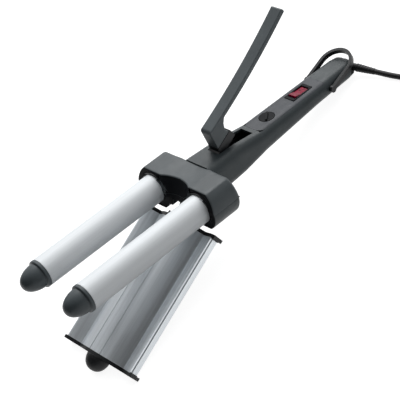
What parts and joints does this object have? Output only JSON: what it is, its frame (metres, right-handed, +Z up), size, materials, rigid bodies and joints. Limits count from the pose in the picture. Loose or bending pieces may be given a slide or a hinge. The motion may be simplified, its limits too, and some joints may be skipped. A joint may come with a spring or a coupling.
{
  "type": "hair waver",
  "caption": "Hair waver: parallel heated barrels over a sprung wave plate, squeezed by a finger lever on a tapered handle with dial, rocker switch and swivel cord.",
  "frame": {"origin": "on the table, below the middle of the resting tool's extents without its cord", "axes": "+X towards the barrel tips, +Y to the side the cord leaves, +Z up from the table"},
  "size_m": [0.4422, 0.1844, 0.1123],
  "materials": {
    "top_plastic": "satin",
    "shell_plastic": "matte",
    "black_plastic": "satin",
    "barrel_metal": "satin",
    "plate_metal": "brushed",
    "panel_plastic": "satin",
    "rocker_red": "gloss",
    "steel": "satin",
    "heater_core": "cast",
    "ceramic": "matte",
    "board_green": "satin",
    "lamp_glass": "gloss",
    "wire_insulation": "satin",
    "cord_rubber": "matte",
    "plug_plastic": "satin",
    "plug_metal": "polished"
  },
  "bodies": {
    "tool": {"head_upper": "top_plastic", "head_lower": "shell_plastic", "head_screws": "steel", "left_barrel": "barrel_metal", "right_barrel": "barrel_metal", "left_insulator": "black_plastic", "right_insulator": "black_plastic", "left_tip": "black_plastic", "right_tip": "black_plastic", "left_heater": "heater_core", "right_heater": "heater_core", "left_ceramic": "ceramic", "right_ceramic": "ceramic", "handle_upper": "shell_plastic", "handle_lower": "shell_plastic", "handle_screws": "steel", "control_panel": "panel_plastic", "switch_housing": "black_plastic", "indicator_lamp": "lamp_glass", "potentiometer": "board_green", "circuit_board": "board_green", "thermal_fuse": "ceramic", "heater_wires": "wire_insulation", "mains_wires": "wire_insulation", "pivot_pin": "steel", "clamp_spring": "steel", "cord_lead": "cord_rubber", "cord_coil": "cord_rubber", "cord_tail": "cord_rubber", "cord_tie": "cord_rubber", "plug_body": "plug_plastic", "plug_pins": "plug_metal"},
    "clamp": {"finger_lever": "top_plastic", "clamp_arm": "black_plastic", "arm_screws": "steel", "wave_plate": "plate_metal", "rear_bar": "black_plastic", "front_bar": "black_plastic", "plate_tip": "black_plastic", "plate_cover": "black_plastic", "cover_screws": "steel", "plate_heater": "heater_core", "plate_ceramic": "ceramic"},
    "rocker": {"power_rocker": "rocker_red"},
    "dial": {"temperature_dial": "black_plastic"},
    "loop": {"hanging_loop": "black_plastic"},
    "swivel": {"swivel_ball": "black_plastic", "strain_relief": "cord_rubber"}
  },
  "joints": [
    {"name": "clamp_pivot", "type": "hinge", "parent": "tool", "child": "clamp", "pos_m": [0.0215, 0, 0.04234], "axis": [0, -1, 0], "range_deg": [0, 27], "stiffness_Nm_per_rad": 0.8, "springref_deg": -57.3, "deforming": ["clamp_spring"]},
    {"name": "rocker_tilt", "type": "hinge", "parent": "tool", "child": "rocker", "pos_m": [-0.11587, 0, 0.02624], "axis": [0, 1, 0], "range_deg": [0, 16]},
    {"name": "dial_turn", "type": "hinge", "parent": "tool", "child": "dial", "pos_m": [-0.07555, 0, 0.02847], "axis": [-0.2616, 0, 0.9652], "range_deg": [-135, 135]},
    {"name": "loop_fold", "type": "hinge", "parent": "tool", "child": "loop", "pos_m": [-0.1392, 0, 0.01484], "axis": [0, 1, 0], "range_deg": [-6, 55]},
    {"name": "cord_swivel", "type": "hinge", "parent": "tool", "child": "swivel", "pos_m": [-0.17048, 0, 0.00791], "axis": [-0.15, 0.9832, -0.104], "continuous": true}
  ]
}
